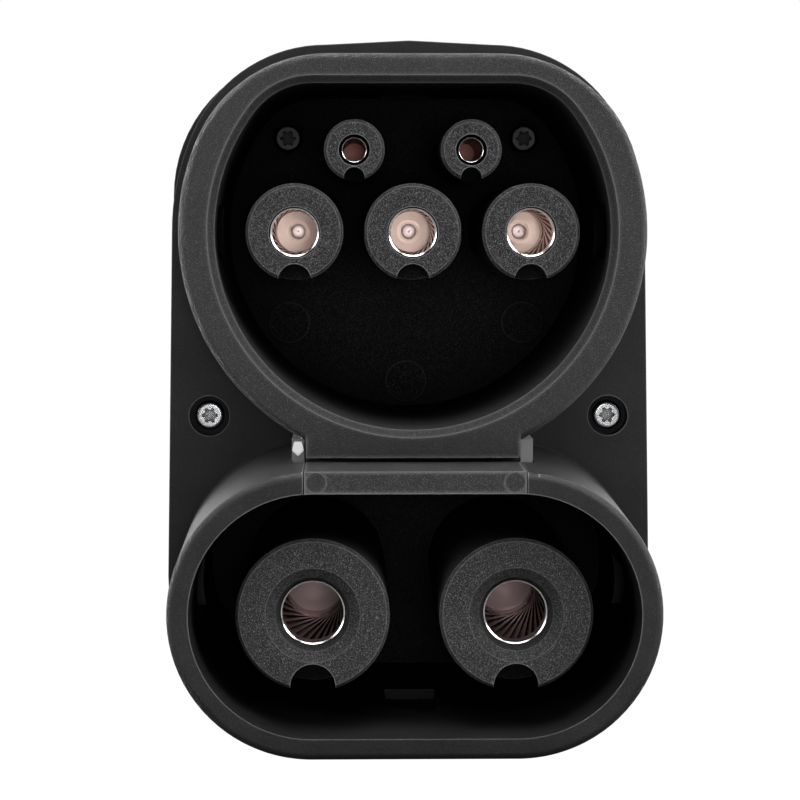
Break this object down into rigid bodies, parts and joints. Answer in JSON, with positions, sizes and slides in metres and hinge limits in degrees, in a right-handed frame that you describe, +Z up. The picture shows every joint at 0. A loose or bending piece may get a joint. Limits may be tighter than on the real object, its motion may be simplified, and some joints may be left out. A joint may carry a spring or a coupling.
{
  "type": "vehicle charging plug",
  "caption": "Combined AC and DC vehicle charging plug: round contact collar with a flat top over an oval two-contact shroud, on a straight handle with a cable gland.",
  "frame": {"origin": "middle of the box's underside, under the plug as it stands on its flat lower side", "axes": "+X to the right as seen by someone who looks at the contacts, +Y from the mating face back towards the cable gland, +Z up"},
  "size_m": [0.0702, 0.2714, 0.0965],
  "materials": {
    "collar_plastic": "spark-eroded grain",
    "frame_plastic": "satin moulded",
    "insert_plastic": "fine grain",
    "shell_plastic": "fine grain",
    "natural_nylon": "plain moulded",
    "silver_plate": "bright silver plating",
    "copper_lamella": "rolled copper alloy",
    "sensor_plastic": "plain moulded",
    "bright_steel": "bright zinc",
    "black_steel": "black oxide",
    "seal_rubber": "matt rubber",
    "gland_plastic": "satin moulded"
  },
  "bodies": {
    "root": {"ac_collar": "collar_plastic", "front_frame": "frame_plastic", "web_key_left": "natural_nylon", "web_key_right": "natural_nylon", "ac_insert": "insert_plastic", "dc_insert": "insert_plastic", "ac_retainer": "insert_plastic", "dc_retainer": "insert_plastic", "line_socket": "silver_plate", "earth_socket": "silver_plate", "neutral_socket": "silver_plate", "pilot_socket": "silver_plate", "proximity_socket": "silver_plate", "dc_left_socket": "silver_plate", "dc_right_socket": "silver_plate", "line_lamella_cage": "copper_lamella", "earth_lamella_cage": "copper_lamella", "neutral_lamella_cage": "copper_lamella", "dc_left_lamella_cage": "copper_lamella", "dc_right_lamella_cage": "copper_lamella", "dc_left_heat_sensor": "sensor_plastic", "dc_right_heat_sensor": "sensor_plastic", "flange_screws": "bright_steel", "insert_screws": "black_steel", "housing_screws": "black_steel", "flange_gasket": "seal_rubber", "housing_left": "shell_plastic", "housing_right": "shell_plastic", "gland_body": "gland_plastic", "gland_seal": "seal_rubber", "gland_nut": "gland_plastic"}
  },
  "joints": []
}
